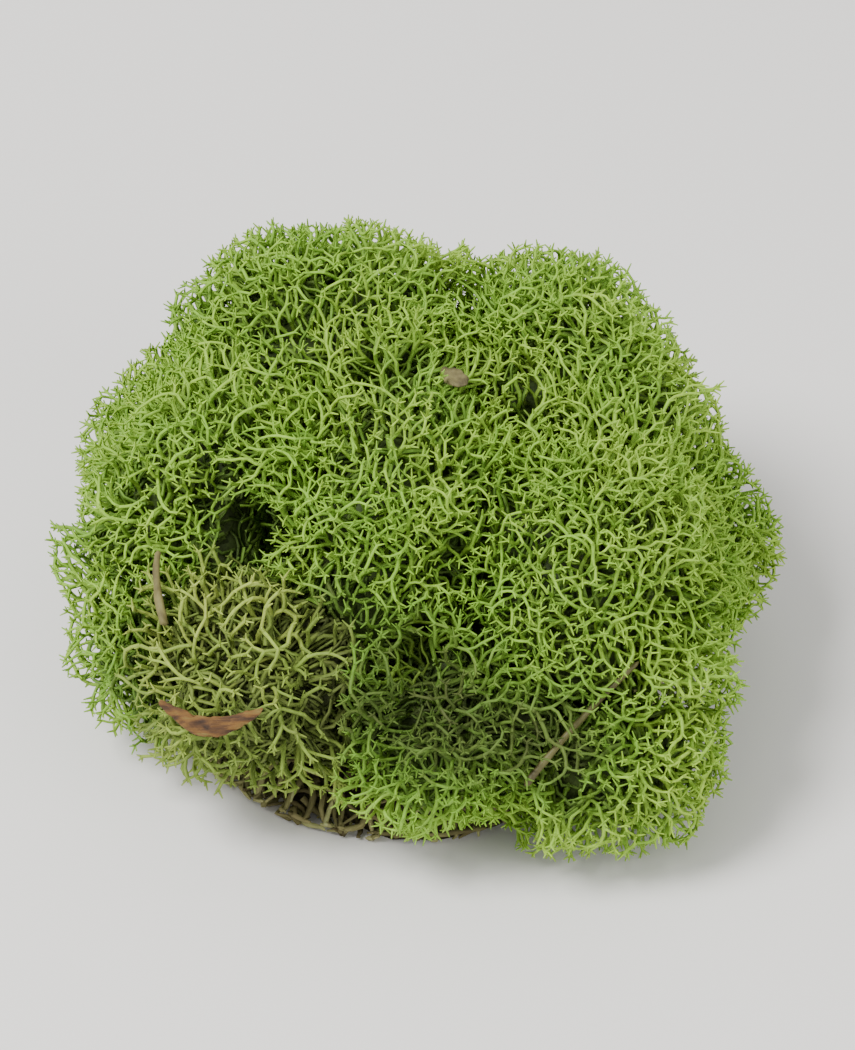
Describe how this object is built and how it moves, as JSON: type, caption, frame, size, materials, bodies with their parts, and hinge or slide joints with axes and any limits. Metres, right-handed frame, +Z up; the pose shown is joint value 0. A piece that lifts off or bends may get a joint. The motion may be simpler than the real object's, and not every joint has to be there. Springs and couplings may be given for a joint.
{
  "type": "reindeer moss clump",
  "caption": "Cushion of preserved reindeer moss: rounded crowns of forked lichen stems on a mat of old stems, with dry litter caught in it.",
  "frame": {"origin": "middle of the clump's footprint box, on the surface that it lies on", "axes": "+X along its longest side, to the right as seen from its front; +Z up; its front faces -Y"},
  "size_m": [0.1064, 0.1042, 0.0604],
  "materials": {
    "moss": "matt, soft and springy preserved lichen",
    "pale_moss": "matt, paler and more open lichen stems",
    "old_stems": "matt, old brown-olive lichen stems",
    "dry_needle": "matt, dry conifer needle",
    "dry_twig": "matt, dry twig",
    "bark": "matt, thin flake of bark",
    "seed_scale": "matt, papery cone scale"
  },
  "bodies": {
    "root": {"crown_centre": "moss", "crown_right": "moss", "crown_back_right": "moss", "crown_back_left": "moss", "crown_left": "moss", "crown_front_left": "pale_moss", "crown_front": "moss", "crown_far_right": "moss", "crown_front_right": "moss", "crown_far_left": "moss", "crown_back_corner": "moss", "crown_back": "moss", "stem_mat": "old_stems", "dry_needle": "dry_needle", "dry_twig": "dry_twig", "bark_flake": "bark", "seed_scale": "seed_scale"}
  },
  "joints": []
}
